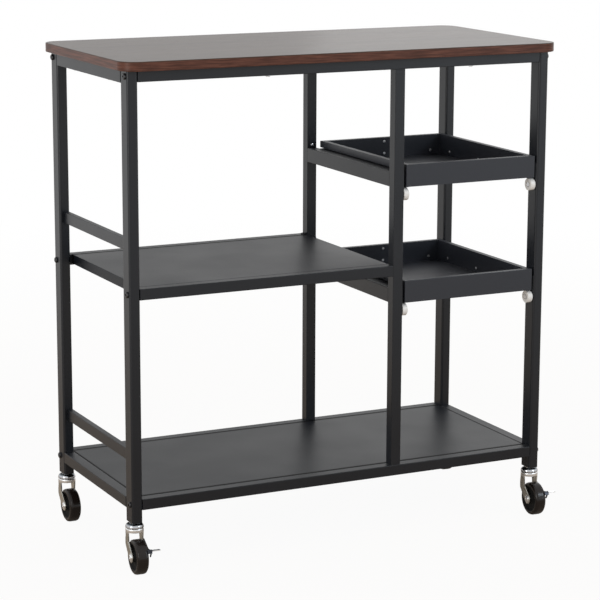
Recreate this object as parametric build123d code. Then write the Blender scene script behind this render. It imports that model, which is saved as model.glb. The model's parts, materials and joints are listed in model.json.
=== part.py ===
from build123d import *
import os

# Steel frame: outer size over the posts, and the length of the posts
frame_length = 802.0
frame_depth = 358.0
post_height = 764.0

# Worktop board
top_thickness = 16.0
top_overhang_side = 12.0
top_overhang_front = 18.0
top_corner_radius = 30.0
top_edge_round = 1.5

# Tube sections
tube_wall = 1.2
post_width = 19.0
post_depth = 30.0
post_corner = 4.0
centre_post_size = 19.0
rail_size = 19.0
top_side_rail_height = 22.0
rail_corner = 1.0
bar_width = 19.0
bar_height = 26.0
guard_width = 10.0
guard_height = 20.0
guard_inset = 8.0

# Clear width of the bay with the two shelves; the trays take the rest
shelf_bay_width = 475.0

# Levels above the feet of the posts
bottom_shelf_rise = 41.0
middle_shelf_rise = 402.5
lower_tray_rise = 334.5
tray_pitch = 205.3
guard_lift = 60.0

# Sheet panels of the two shelves
panel_sheet = 1.0
panel_flange = 17.0
panel_fold = 1.2
middle_panel_inset = 8.0

# Frame bolts, their threaded inserts and the worktop's screws
bolt_diameter = 6.0
bolt_head_diameter = 10.5
bolt_head_height = 3.3
bolt_head_round = 2.0
bolt_socket_across = 4.0
bolt_socket_depth = 2.0
bolt_hole_diameter = 6.6
bolt_access_diameter = 12.0
insert_length = 12.0
fit_clearance = 0.05
screw_diameter = 4.0
screw_head_diameter = 8.0
screw_head_height = 2.2
screw_bite = 12.0
screw_hole_diameter = 4.5
side_screw_spacing = 160.0

# Trays; the hold is what stays behind the frame's front when a tray is pulled right out
tray_side_gap = 5.0
tray_rear_gap = 24.0
tray_hold = 79.0
tray_height = 39.0
tray_sheet = 1.0
rim_width = 10.0
rim_fold = 0.8

# Roller slides of the trays
slide_wall = 1.2
roller_diameter = 22.0
roller_edge_round = 1.0
roller_side_gap = 0.4
roller_inner_gap = 1.6
roller_lift = 0.2
roller_play = 1.2
roller_recess_diameter = 10.0
roller_recess_depth = 1.6
roller_pin_diameter = 5.0
roller_pin_head_diameter = 8.0
roller_pin_head_height = 1.2
rear_roller_inset = 13.0
runner_drop = 2.4
runner_web_height = 24.0
runner_edge_gap = 0.8
channel_lip_gap = 1.0
channel_setback = 3.0
rim_clearance = 1.4
roller_tab_radius = 9.0
stop_height = 4.0
stop_thickness = 2.0
stop_gap = 0.5
slide_screw_diameter = 4.0
slide_screw_head_diameter = 6.4
slide_screw_reach = 2.4
slide_screw_end = 24.0

# Rivets that show inside the trays
rivet_diameter = 3.0
rivet_head_diameter = 5.0
rivet_head_height = 1.0
rivet_head_round = 0.6
rivet_rise = 9.0
rivet_pair_pitch = 22.5
rivet_corner_inset = 20.0
rivet_side_rear = 38.0
rivet_side_front = 75.0

# Casters
wheel_diameter = 60.0
wheel_width = 20.5
wheel_shoulder = 3.5
wheel_recess_depth = 4.0
wheel_recess_outer = 45.0
wheel_hub_diameter = 17.0
wheel_hub_width = 21.4
axle_diameter = 6.0
axle_head_diameter = 10.0
axle_head_height = 2.0
caster_trail = 19.0
crown_gap = 10.0
crown_diameter = 31.0
crown_height = 7.0
crown_wall = 2.0
fork_wall = 2.6
fork_side_gap = 0.5
fork_boss_radius = 9.5
fork_bend_radius = 8.0
fork_bend_forward = -1.0
fork_bend_below_crown = 20.5
fork_neck_front = 6.0
fork_neck_rear = 9.0
race_gap = 0.5
cap_diameter = 31.5
cap_height = 7.0
cap_wall = 1.6
cap_round = 5.0
ball_diameter = 4.0
ball_circle_diameter = 21.0
ball_count = 12
ball_clearance = 0.1
kingpin_diameter = 8.0
kingpin_head_diameter = 14.0
kingpin_head_height = 2.2
kingpin_head_gap = 0.1
flange_across = 17.0
flange_height = 2.5
stem_diameter = 10.0
stem_length = 20.0
foot_plug_height = 22.0
foot_plug_corner = 3.2
running_clearance = 0.05

# Direction in which each wheel trails, in degrees from the front towards the left
headings = {
    "front_left": 4.0,
    "rear_left": 1.0,
    "front_right": 3.0,
    "rear_right": 5.0,
}
braked_casters = ["front_left", "front_right"]

# Brake pedals of the front casters
brake_sheet = 1.5
brake_side_gap = 0.5
brake_pivot_back = 16.0
brake_pivot_up = 20.0
brake_pivot_diameter = 4.0
brake_pivot_head_diameter = 7.0
brake_pivot_head_height = 1.0
brake_eye_radius = 6.0
brake_elbow_radius = 3.0
brake_elbow_forward = 6.0
brake_elbow_up = 12.0
brake_tip_radius = 1.8
brake_tip_setback = 4.5
brake_tip_up = 14.7
brake_tail_radius = 1.3
brake_tail_lean = 6.0
brake_tail_up = 4.5
brake_shoe_angle = 30.0
brake_shoe_gap = 0.3
brake_shoe_length = 7.0
brake_shoe_width = 8.0
brake_tread_width = 15.0
brake_tread_length = 6.0
brake_tread_step = 0.5

# Places that follow from the sizes above
half_length = frame_length / 2
half_depth = frame_depth / 2
inner_x = half_length - post_width
rail_y = half_depth - rail_size / 2
post_x = half_length - post_width / 2
post_y = half_depth - post_depth / 2
wheel_radius = wheel_diameter / 2
crown_bottom = wheel_diameter + crown_gap
crown_top = crown_bottom + crown_height
cap_bottom = crown_top + race_gap
cap_top = cap_bottom + cap_height
foot_z = cap_top + flange_height
frame_top = foot_z + post_height
bottom_shelf_top = foot_z + bottom_shelf_rise
middle_shelf_top = foot_z + middle_shelf_rise
centre_left = -inner_x + shelf_bay_width
centre_right = centre_left + centre_post_size
centre_x = (centre_left + centre_right) / 2
tray_bay_middle = (centre_right + inner_x) / 2
shelf_bay_middle = (centre_left - inner_x) / 2
tray_left = centre_right + tray_side_gap
tray_right = inner_x - tray_side_gap
tray_depth = frame_depth - tray_rear_gap
tray_travel = tray_depth - tray_hold
tray_back = -half_depth + tray_depth
lower_tray_z = foot_z + lower_tray_rise
upper_tray_z = lower_tray_z + tray_pitch
tray_levels = {"upper": upper_tray_z, "lower": lower_tray_z}
bottom_rail_z = bottom_shelf_top - rail_size / 2
middle_rail_z = middle_shelf_top - rail_size / 2
top_rail_z = frame_top - rail_size / 2
bolt_levels = {-1: [bottom_rail_z, middle_rail_z, top_rail_z], 1: [bottom_rail_z, top_rail_z]}
centre_bolt_y = half_depth - centre_post_size / 2

# Room between the wall beside a tray and the tray's own runner, and what turns in it
slide_room = tray_side_gap + rim_width - tray_sheet - slide_wall
roller_width = slide_room - slide_wall - roller_side_gap - roller_inner_gap
channel_height = roller_diameter + 2 * slide_wall + roller_play
channel_depth = slide_room - roller_inner_gap + roller_side_gap - channel_lip_gap
rim_return = tray_height - channel_height - rim_clearance
front_roller_y = -half_depth + roller_diameter / 2
front_roller_drop = runner_drop + roller_lift + roller_diameter / 2
rear_roller_y = tray_back - rim_width - rear_roller_inset
rear_roller_rise = slide_wall + roller_lift + roller_diameter / 2
channel_front = -half_depth + rim_width + channel_setback

# The fork and the brake, in the caster's own plane: distances forward of the stem are negative
leg_inner = wheel_hub_width / 2 + fork_side_gap
leg_outer = leg_inner + fork_wall
brake_inner = leg_outer + brake_side_gap
brake_pivot_y = -caster_trail + brake_pivot_back
brake_pivot_z = wheel_radius + brake_pivot_up
brake_tip_y = -caster_trail - wheel_radius + brake_tip_setback
brake_tip_z = wheel_radius + brake_tip_up

# Screws into the worktop, each with the underside of its rail: two in every top rail
side_rail_x = inner_x + rail_size / 2
long_rail_low = frame_top - rail_size
side_rail_low = frame_top - top_side_rail_height
screw_places = [
    (x, y, long_rail_low)
    for x in (shelf_bay_middle, tray_bay_middle)
    for y in (-rail_y, rail_y)
]
screw_places += [
    (x, y, side_rail_low)
    for x in (-side_rail_x, side_rail_x)
    for y in (-side_screw_spacing / 2, side_screw_spacing / 2)
]


def block(x, y, z):
    """A plain box between two x values, two y values and two z values."""
    size = Box(x[1] - x[0], y[1] - y[0], z[1] - z[0])
    return Pos((x[0] + x[1]) / 2, (y[0] + y[1]) / 2, (z[0] + z[1]) / 2) * size


def group(solids):
    """Several separate solids that share one node."""
    return Compound(solids)


def rod_x(radius, x, y, z):
    """A round bar along X, from x[0] to x[1]."""
    return Pos((x[0] + x[1]) / 2, y, z) * Rot(0, 90, 0) * Cylinder(radius, x[1] - x[0])


def rod_z(radius, x, y, z):
    """A round bar along Z, from z[0] to z[1]."""
    return Pos(x, y, (z[0] + z[1]) / 2) * Cylinder(radius, z[1] - z[0])


def tube(width, depth, corner, length):
    """A rectangular tube that stands on the origin, open at both ends."""
    inner_corner = corner - tube_wall
    outer = RectangleRounded(width, depth, corner)
    bore = Rectangle(width - 2 * tube_wall, depth - 2 * tube_wall)
    if inner_corner > 0:
        bore = RectangleRounded(width - 2 * tube_wall, depth - 2 * tube_wall, inner_corner)
    return extrude(outer - bore, length)


def tube_x(x, y, z, width, height):
    """A tube along X whose section is centred on y and z."""
    return Pos(x[0], y, z) * Rot(0, 90, 0) * tube(height, width, rail_corner, x[1] - x[0])


def tube_y(x, y, z, width, height):
    """A tube along Y whose section is centred on x and z."""
    return Pos(x, y[0], z) * Rot(-90, 0, 0) * tube(width, height, rail_corner, y[1] - y[0])


def worktop():
    """Board with round corners and eased edges, drilled from below for its screws."""
    outline = RectangleRounded(
        frame_length + 2 * top_overhang_side,
        frame_depth + 2 * top_overhang_front,
        top_corner_radius,
    )
    board = Pos(0, 0, frame_top) * extrude(outline, top_thickness)
    faces = board.faces().sort_by(Axis.Z)
    board = fillet(faces[0].edges() + faces[-1].edges(), top_edge_round)
    for x, y, low in screw_places:
        board -= rod_z(screw_diameter / 2 + fit_clearance, x, y, (frame_top, frame_top + screw_bite))
    return board


def corner_post(side, front):
    """Corner post with the holes of its frame bolts; side and front are -1 or 1."""
    post = Pos(side * post_x, front * post_y, foot_z) * tube(post_width, post_depth, post_corner, post_height)
    reach = (side * post_x - post_width, side * post_x + post_width)
    for z in bolt_levels[side]:
        post -= rod_x(bolt_hole_diameter / 2, reach, front * rail_y, z)
    return post


def centre_post(front):
    """Post between the two bays, from the bottom rail to the top rail."""
    length = frame_top - rail_size - bottom_shelf_top
    post = tube(centre_post_size, centre_post_size, rail_corner, length)
    post = Pos(centre_x, front * centre_bolt_y, bottom_shelf_top) * post
    reach = (centre_left - tube_wall, centre_right + tube_wall)
    return post - rod_x(bolt_hole_diameter / 2, reach, front * centre_bolt_y, middle_rail_z)


def top_rail_long(front):
    """Front or rear rail under the worktop, with the holes of its screws and of one post bolt."""
    rail = tube_x((-inner_x, inner_x), front * rail_y, top_rail_z, rail_size, rail_size)
    rail -= rod_z(bolt_hole_diameter / 2, centre_x, front * centre_bolt_y, (long_rail_low, top_rail_z))
    rail -= rod_z(bolt_access_diameter / 2, centre_x, front * centre_bolt_y, (top_rail_z, frame_top))
    for x, y, low in screw_places:
        rail -= rod_z(screw_hole_diameter / 2, x, y, (low, frame_top))
    return rail


def top_rail_side(side):
    """Left or right rail under the worktop, between the posts."""
    reach = (-half_depth + post_depth, half_depth - post_depth)
    middle_z = (side_rail_low + frame_top) / 2
    rail = tube_y(side * side_rail_x, reach, middle_z, rail_size, top_side_rail_height)
    for x, y, low in screw_places:
        rail -= rod_z(screw_hole_diameter / 2, x, y, (low, frame_top))
    return rail


def bottom_rail_long(front):
    """Front or rear rail of the bottom shelf, with the holes of one post bolt."""
    rail = tube_x((-inner_x, inner_x), front * rail_y, bottom_rail_z, rail_size, rail_size)
    low = bottom_shelf_top - rail_size
    rail -= rod_z(bolt_access_diameter / 2, centre_x, front * centre_bolt_y, (low, bottom_rail_z))
    hole = (bottom_rail_z, bottom_shelf_top)
    return rail - rod_z(bolt_hole_diameter / 2, centre_x, front * centre_bolt_y, hole)


def bottom_rail_side(side):
    """Left or right rail of the bottom shelf, between the posts."""
    reach = (-half_depth + post_depth, half_depth - post_depth)
    return tube_y(side * side_rail_x, reach, bottom_rail_z, rail_size, rail_size)


def middle_rail(front):
    """Front or rear rail of the middle shelf, from the left post to the centre post."""
    return tube_x((-inner_x, centre_left), front * rail_y, middle_rail_z, rail_size, rail_size)


def shelf_panel(x, top):
    """Sheet shelf with its four edges folded down, laid between the front and rear rails."""
    y = (-half_depth + rail_size, half_depth - rail_size)
    sheet = block(x, y, (top - panel_flange, top))
    sheet = fillet(sheet.faces().sort_by(Axis.Z)[-1].edges(), panel_fold)
    inside_x = (x[0] + panel_sheet, x[1] - panel_sheet)
    inside_y = (y[0] + panel_sheet, y[1] - panel_sheet)
    return sheet - block(inside_x, inside_y, (top - panel_flange, top - panel_sheet))


def guard_rails():
    """Two flat side rails at the left end, one above each shelf."""
    reach = (-half_depth + post_depth, half_depth - post_depth)
    x = -half_length + guard_inset + guard_width / 2
    rails = []
    for shelf_top in (bottom_shelf_top, middle_shelf_top):
        z = shelf_top + guard_lift + guard_height / 2
        rails.append(tube_y(x, reach, z, guard_width, guard_height))
    return group(rails)


def runner_bar(side, tray_z):
    """Bar that carries one slide, between the centre posts or between the right posts."""
    z = tray_z + bar_height / 2
    if side < 0:
        reach = (-half_depth + centre_post_size, half_depth - centre_post_size)
        bar = tube_y(centre_right - bar_width / 2, reach, z, bar_width, bar_height)
    else:
        reach = (-half_depth + post_depth, half_depth - post_depth)
        bar = tube_y(inner_x + bar_width / 2, reach, z, bar_width, bar_height)
    for y in slide_screw_ys():
        bar -= on_side(side, slide_screw(y, tray_z, fit_clearance))
    return bar


def on_side(side, piece):
    """Place a left-hand slide piece at the left of the tray bay, or its mirror image at the right."""
    if side < 0:
        return Pos(centre_right, 0, 0) * piece
    return Pos(inner_x, 0, 0) * mirror(piece, Plane.YZ)


def slide_channel(side, tray_z):
    """Fixed half of a slide: a C channel with stop lugs and a tab for the front roller."""
    back = half_depth - post_depth
    high = tray_z + channel_height
    roller_z = tray_z - front_roller_drop
    web = block((0, slide_wall), (front_roller_y - roller_tab_radius, back), (tray_z, high))
    flanges = block((0, channel_depth), (channel_front, back), (tray_z, high))
    inside = (tray_z + slide_wall, high - slide_wall)
    flanges -= block((slide_wall, channel_depth), (channel_front, back), inside)
    tab_y = (front_roller_y - roller_tab_radius, front_roller_y + roller_tab_radius)
    tab = block((0, slide_wall), tab_y, (roller_z, tray_z))
    tab += rod_x(roller_tab_radius, (0, slide_wall), front_roller_y, roller_z)
    channel = web + flanges + tab
    front_stop = rear_roller_y - tray_travel - roller_diameter / 2 - stop_gap
    rear_stop = rear_roller_y + roller_diameter / 2 + stop_gap
    lug_z = (high - slide_wall - stop_height, high - slide_wall)
    lug_x = (slide_wall, channel_depth)
    channel += block(lug_x, (front_stop - stop_thickness, front_stop), lug_z)
    channel += block(lug_x, (rear_stop, rear_stop + stop_thickness), lug_z)
    pin_hole = rod_x(roller_pin_diameter / 2 + fit_clearance, (0, slide_wall), front_roller_y, roller_z)
    channel -= pin_hole
    for y in slide_screw_ys():
        channel -= slide_screw(y, tray_z, fit_clearance)
    return on_side(side, channel)


def slide_screw_ys():
    """Places along a channel of the screws that hold it to its bar."""
    end = half_depth - post_depth - slide_screw_end
    return [-end, 0.0, end]


def slide_screw(y, tray_z, clearance):
    """Countersunk screw, flush with the channel's web and through the bar's wall."""
    z = tray_z + bar_height / 2
    shank = rod_x(slide_screw_diameter / 2 + clearance, (-slide_screw_reach, slide_wall), y, z)
    cone = Cone(slide_screw_diameter / 2 + clearance, slide_screw_head_diameter / 2 + clearance, slide_wall)
    return shank + Pos(slide_wall / 2, y, z) * Rot(0, 90, 0) * cone


def roller_pin(length):
    """Pin along +Z from the origin, with its head inside the end of its length."""
    pin = rod_z(roller_pin_diameter / 2, 0, 0, (0, length))
    return pin + rod_z(roller_pin_head_diameter / 2, 0, 0, (length - roller_pin_head_height, length))


def roller():
    """Grooveless roller along +Z from the origin, with a recess for the pin's head at its far end."""
    body = Pos(0, 0, roller_width / 2) * Cylinder(roller_diameter / 2, roller_width)
    body = fillet(body.edges().filter_by(GeomType.CIRCLE), roller_edge_round)
    recess = (roller_width - roller_recess_depth, roller_width)
    body -= rod_z(roller_recess_diameter / 2, 0, 0, recess)
    return body - rod_z(roller_pin_diameter / 2 + running_clearance, 0, 0, (0, roller_width))


def front_roller(side, tray_z):
    """Roller on the fixed channel, under the front end of the tray's runner."""
    x = slide_wall + roller_side_gap
    return on_side(side, Pos(x, front_roller_y, tray_z - front_roller_drop) * Rot(0, 90, 0) * roller())


def rear_roller(side, tray_z):
    """Roller on the tray's runner, inside the fixed channel."""
    x = slide_wall + roller_side_gap + roller_width
    return on_side(side, Pos(x, rear_roller_y, tray_z + rear_roller_rise) * Rot(0, -90, 0) * roller())


def slide_fasteners():
    """Fixed pins of the front rollers, and the screws that hold the channels."""
    solids = []
    pin = roller_pin(slide_wall + roller_side_gap + roller_width)
    for tray_z in tray_levels.values():
        for side in (-1, 1):
            place = Pos(0, front_roller_y, tray_z - front_roller_drop) * Rot(0, 90, 0)
            solids.append(on_side(side, place * pin))
            for y in slide_screw_ys():
                solids.append(on_side(side, slide_screw(y, tray_z, 0)))
    return group(solids)


def tray_runner(side, tray_z):
    """Moving half of a slide: an angle on the tray's side that rides on the front roller."""
    low = tray_z - runner_drop
    reach = (-half_depth + rim_width, tray_back - rim_width + tray_sheet)
    web = block((slide_room, slide_room + slide_wall), reach, (low, low + runner_web_height))
    flange_x = (slide_wall + runner_edge_gap, slide_room + slide_wall)
    runner = web + block(flange_x, reach, (low, low + slide_wall))
    hole = rod_x(
        roller_pin_diameter / 2 + fit_clearance,
        (slide_room, slide_room + slide_wall),
        rear_roller_y,
        tray_z + rear_roller_rise,
    )
    runner -= hole
    for y in side_rivet_ys():
        reach_x = (slide_room, slide_room + slide_wall)
        runner -= rod_x(rivet_diameter / 2 + fit_clearance, reach_x, y, tray_z + rivet_rise)
    return on_side(side, runner)


def side_rivet_ys():
    """Places of the rivets that join a runner to the tray's side."""
    inner_back = tray_back - rim_width
    inner_front = -half_depth + rim_width
    return [inner_back - rivet_side_rear, 0.0, inner_front + rivet_side_front]


def tray(tray_z):
    """Folded sheet tray: floor, four walls, a flat rim with a return, and a full-height front."""
    x = (tray_left, tray_right)
    y = (-half_depth, tray_back)
    top = tray_z + tray_height
    opening_x = (x[0] + rim_width, x[1] - rim_width)
    opening_y = (y[0] + rim_width, y[1] - rim_width)
    body_x = (opening_x[0] - tray_sheet, opening_x[1] + tray_sheet)
    body_y = (opening_y[0] - tray_sheet, opening_y[1] + tray_sheet)
    skirt = block(x, y, (top - rim_return, top)) + block(x, (y[0], body_y[0]), (tray_z, top))
    skirt = fillet(skirt.faces().sort_by(Axis.Z)[-1].edges(), rim_fold)
    under_x = (x[0] + tray_sheet, x[1] - tray_sheet)
    under_y = (y[0] + tray_sheet, y[1] - tray_sheet)
    skirt -= block(under_x, under_y, (tray_z, top - tray_sheet))
    shell = skirt + block(body_x, body_y, (tray_z, top - tray_sheet / 2))
    shell -= block(opening_x, opening_y, (tray_z + tray_sheet, top))
    for place in rivet_places(tray_z):
        shell -= place * rod_z(rivet_diameter / 2 + fit_clearance, 0, 0, (-tray_sheet, 0))
    return shell


def rivet_places(tray_z):
    """Places of the rivets on the tray's inner walls; each points into the tray along its +Z."""
    wall_x = {-1: tray_left + rim_width, 1: tray_right - rim_width}
    wall_y = tray_back - rim_width
    places = []
    for side in (-1, 1):
        for y in side_rivet_ys():
            places.append(Pos(wall_x[side], y, tray_z + rivet_rise) * Rot(0, -90 * side, 0))
        corner_x = wall_x[side] - side * rivet_corner_inset
        places.append(Pos(corner_x, wall_y, tray_z + rivet_rise) * Rot(90, 0, 0))
    for step in (0, 1):
        z = tray_z + rivet_rise + step * rivet_pair_pitch
        places.append(Pos(tray_bay_middle, wall_y, z) * Rot(90, 0, 0))
    return places


def rivet(grip):
    """Round-headed rivet: its head above the origin, its shank down through the grip."""
    head = rod_z(rivet_head_diameter / 2, 0, 0, (0, rivet_head_height))
    head = fillet(head.faces().sort_by(Axis.Z)[-1].edges(), rivet_head_round)
    return head + rod_z(rivet_diameter / 2, 0, 0, (-grip, 0))


def tray_fasteners(tray_z):
    """Rivets of a tray and the pins of its two rear rollers."""
    solids = [place * rivet(tray_sheet + slide_wall) for place in rivet_places(tray_z)]
    pin = roller_pin(slide_room - roller_side_gap)
    collar = (slide_wall, slide_wall + roller_inner_gap - roller_side_gap)
    pin += rod_z(roller_pin_head_diameter / 2, 0, 0, collar)
    for side in (-1, 1):
        place = Pos(slide_room + slide_wall, rear_roller_y, tray_z + rear_roller_rise) * Rot(0, -90, 0)
        solids.append(on_side(side, place * pin))
    return group(solids)


def bolt(length):
    """Button-head bolt: its head below the origin, its shank up along +Z."""
    head = rod_z(bolt_head_diameter / 2, 0, 0, (-bolt_head_height, 0))
    head = fillet(head.faces().sort_by(Axis.Z)[0].edges(), bolt_head_round)
    socket = extrude(RegularPolygon(bolt_socket_across / 2, 6, major_radius=False), bolt_socket_depth)
    head -= Pos(0, 0, -bolt_head_height) * socket
    return head + rod_z(bolt_diameter / 2, 0, 0, (0, length))


def frame_bolts():
    """Bolts through the posts into the rail ends, and through the rails into the post ends."""
    solids = []
    for front in (-1, 1):
        for side in (-1, 1):
            for z in bolt_levels[side]:
                place = Pos(side * half_length, front * rail_y, z) * Rot(0, -90 * side, 0)
                solids.append(place * bolt(post_width + insert_length))
        place = Pos(centre_right, front * centre_bolt_y, middle_rail_z) * Rot(0, -90, 0)
        solids.append(place * bolt(centre_post_size + insert_length))
        low = Pos(centre_x, front * centre_bolt_y, bottom_shelf_top - tube_wall)
        high = Pos(centre_x, front * centre_bolt_y, frame_top - rail_size + tube_wall) * Rot(180, 0, 0)
        solids += [low * bolt(tube_wall + insert_length), high * bolt(tube_wall + insert_length)]
    return group(solids)


def threaded_inserts():
    """Square nuts pressed into the ends of the rails and of the centre posts."""
    rail_bore = (rail_size - 2 * tube_wall) / 2
    post_bore = (centre_post_size - 2 * tube_wall) / 2
    radius = bolt_diameter / 2 + fit_clearance
    solids = []

    def along_x(x, y, z):
        nut = block(x, (y - rail_bore, y + rail_bore), (z - rail_bore, z + rail_bore))
        solids.append(nut - rod_x(radius, x, y, z))

    def along_z(y, z):
        nut = block((centre_x - post_bore, centre_x + post_bore), (y - post_bore, y + post_bore), z)
        solids.append(nut - rod_z(radius, centre_x, y, z))

    for front in (-1, 1):
        for z in bolt_levels[-1]:
            along_x((-inner_x, -inner_x + insert_length), front * rail_y, z)
        for z in bolt_levels[1]:
            along_x((inner_x - insert_length, inner_x), front * rail_y, z)
        along_x((centre_left - insert_length, centre_left), front * rail_y, middle_rail_z)
        along_z(front * centre_bolt_y, (bottom_shelf_top, bottom_shelf_top + insert_length))
        post_end = frame_top - rail_size
        along_z(front * centre_bolt_y, (post_end - insert_length, post_end))
    return group(solids)


def worktop_screws():
    """Wood screws up through the top rails into the board."""
    solids = []
    for x, y, low in screw_places:
        head = rod_z(screw_head_diameter / 2, x, y, (low - screw_head_height, low))
        head = fillet(head.faces().sort_by(Axis.Z)[0].edges(), screw_head_height / 2)
        solids.append(head + rod_z(screw_diameter / 2, x, y, (low, frame_top + screw_bite)))
    return group(solids)


def caster_places():
    """Stem position of each caster."""
    return {
        "front_left": (-post_x, -post_y),
        "rear_left": (-post_x, post_y),
        "front_right": (post_x, -post_y),
        "rear_right": (post_x, post_y),
    }


def foot_plugs():
    """Plugs in the feet of the corner posts, threaded for the caster stems."""
    outline = RectangleRounded(
        post_width - 2 * tube_wall, post_depth - 2 * tube_wall, foot_plug_corner
    ) - Circle(stem_diameter / 2 + fit_clearance)
    plug = extrude(outline, foot_plug_height)
    return group([Pos(x, y, foot_z) * plug for x, y in caster_places().values()])


def caster_stems():
    """Threaded stems with a hexagon flange, each continued down as the kingpin of its fork."""
    flange = extrude(RegularPolygon(flange_across / 2, 6, major_radius=False), flange_height)
    head_top = crown_top - crown_wall - kingpin_head_gap
    stem = Pos(0, 0, cap_top) * flange
    stem += rod_z(stem_diameter / 2, 0, 0, (foot_z, foot_z + stem_length))
    stem += rod_z(kingpin_diameter / 2, 0, 0, (head_top - kingpin_head_height, cap_top))
    stem += rod_z(kingpin_head_diameter / 2, 0, 0, (head_top - kingpin_head_height, head_top))
    return group([Pos(x, y, 0) * stem for x, y in caster_places().values()])


def swivel_caps():
    """Domed upper race of each caster, fixed under the stem's flange."""
    cap = rod_z(cap_diameter / 2, 0, 0, (cap_bottom, cap_top))
    cap = fillet(cap.faces().sort_by(Axis.Z)[-1].edges(), cap_round)
    race_top = crown_top + ball_diameter + 2 * ball_clearance
    cap -= rod_z(cap_diameter / 2 - cap_wall, 0, 0, (cap_bottom, race_top))
    cap -= rod_z(kingpin_diameter / 2 + fit_clearance, 0, 0, (cap_bottom, cap_top))
    return group([Pos(x, y, 0) * cap for x, y in caster_places().values()])


def swivel_balls():
    """Ball sets between the caps and the fork crowns."""
    z = crown_top + ball_clearance + ball_diameter / 2
    ring = [
        Rot(0, 0, 360 * step / ball_count) * Pos(ball_circle_diameter / 2, 0, z) * Sphere(ball_diameter / 2)
        for step in range(ball_count)
    ]
    return group([Pos(x, y, 0) * ball for x, y in caster_places().values() for ball in ring])


def at_caster(name, piece):
    """Turn a caster piece to its heading and put it under its post."""
    x, y = caster_places()[name]
    return Pos(x, y, 0) * Rot(0, 0, -headings[name]) * piece


def leg_outline():
    """Side view of a fork leg: neck under the crown, bend, and boss round the axle."""
    bend_z = crown_bottom - fork_bend_below_crown
    bend = Pos(-fork_bend_forward, bend_z) * Circle(fork_bend_radius)
    boss = Pos(-caster_trail, wheel_radius) * Circle(fork_boss_radius)
    neck_height = crown_top - crown_wall - bend_z
    neck = Rectangle(fork_neck_front + fork_neck_rear, neck_height)
    neck = Pos((fork_neck_rear - fork_neck_front) / 2, bend_z + neck_height / 2) * neck
    return make_hull(bend.edges() + boss.edges()) + neck


def fork(name):
    """Swivel fork: pressed crown, two legs and, on a braked caster, the pivot of the pedal."""
    crown = rod_z(crown_diameter / 2, 0, 0, (crown_bottom, crown_top))
    crown -= rod_z(crown_diameter / 2 - crown_wall, 0, 0, (crown_bottom, crown_top - crown_wall))
    leg = extrude(Plane.YZ * leg_outline(), fork_wall)
    body = crown + Pos(leg_inner, 0, 0) * leg + Pos(-leg_outer, 0, 0) * leg
    body -= rod_z(kingpin_diameter / 2 + running_clearance, 0, 0, (crown_bottom, crown_top))
    hole = rod_x(axle_diameter / 2 + fit_clearance, (-leg_outer, leg_outer), -caster_trail, wheel_radius)
    body -= hole
    if name in braked_casters:
        neck_end = brake_inner + brake_sheet + running_clearance
        pin = rod_x(brake_pivot_diameter / 2, (leg_inner, neck_end), brake_pivot_y, brake_pivot_z)
        head_x = (neck_end, neck_end + brake_pivot_head_height)
        body += pin + rod_x(brake_pivot_head_diameter / 2, head_x, brake_pivot_y, brake_pivot_z)
    return at_caster(name, group([body, axle()]))


def axle():
    """Axle riveted over both fork legs."""
    half = leg_outer + axle_head_height
    shaft = rod_x(axle_diameter / 2, (-half, half), -caster_trail, wheel_radius)
    for head_x in ((-half, -leg_outer), (leg_outer, half)):
        shaft += rod_x(axle_head_diameter / 2, head_x, -caster_trail, wheel_radius)
    return shaft


def wheel(name):
    """Wheel with round shoulders, dished sides and a hub that runs on the axle."""
    body = Cylinder(wheel_radius, wheel_width)
    body = fillet(body.edges().filter_by(GeomType.CIRCLE), wheel_shoulder)
    dish = Cylinder(wheel_recess_outer / 2, wheel_recess_depth)
    offset = (wheel_width - wheel_recess_depth) / 2
    body -= Pos(0, 0, offset) * dish + Pos(0, 0, -offset) * dish
    body += Cylinder(wheel_hub_diameter / 2, wheel_hub_width)
    body -= Cylinder(axle_diameter / 2 + running_clearance, wheel_hub_width)
    return at_caster(name, Pos(0, -caster_trail, wheel_radius) * Rot(0, 90, 0) * body)


def brake_outline():
    """Side view of the brake lever: from the eye down to an elbow, out to the tip, and a tail down from it."""
    discs = [
        Pos(brake_pivot_y, brake_pivot_z) * Circle(brake_eye_radius),
        Pos(-caster_trail - brake_elbow_forward, wheel_radius + brake_elbow_up) * Circle(brake_elbow_radius),
        Pos(brake_tip_y, brake_tip_z) * Circle(brake_tip_radius),
        Pos(brake_tip_y + brake_tail_lean, wheel_radius + brake_tail_up) * Circle(brake_tail_radius),
    ]
    outline = Sketch()
    for near, far in zip(discs, discs[1:]):
        outline += make_hull(near.edges() + far.edges())
    return outline


def brake_pedal(name):
    """Bent brake lever: side arm, shoe over the tread and a tread for the toe."""
    arm = Pos(brake_inner, 0, 0) * extrude(Plane.YZ * brake_outline(), brake_sheet)
    outer = brake_inner + brake_sheet
    shoe = Box(brake_shoe_width, brake_shoe_length, brake_sheet)
    shoe_radius = wheel_radius + brake_shoe_gap + brake_sheet / 2
    shoe = Pos(outer - brake_shoe_width / 2, 0, shoe_radius) * shoe
    shoe = Pos(0, -caster_trail, wheel_radius) * Rot(90 - brake_shoe_angle, 0, 0) * shoe
    top = brake_tip_z + brake_tip_radius + brake_tread_step
    tread_front = brake_tip_y - brake_tip_radius - brake_tread_step
    tread_y = (tread_front, tread_front + brake_tread_length)
    toe_tread = block((brake_inner, outer + brake_tread_width), tread_y, (top - brake_sheet, top))
    pedal = arm + shoe + toe_tread
    bore = rod_x(
        brake_pivot_diameter / 2 + running_clearance, (brake_inner, outer), brake_pivot_y, brake_pivot_z
    )
    return at_caster(name, pedal - bore)


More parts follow.
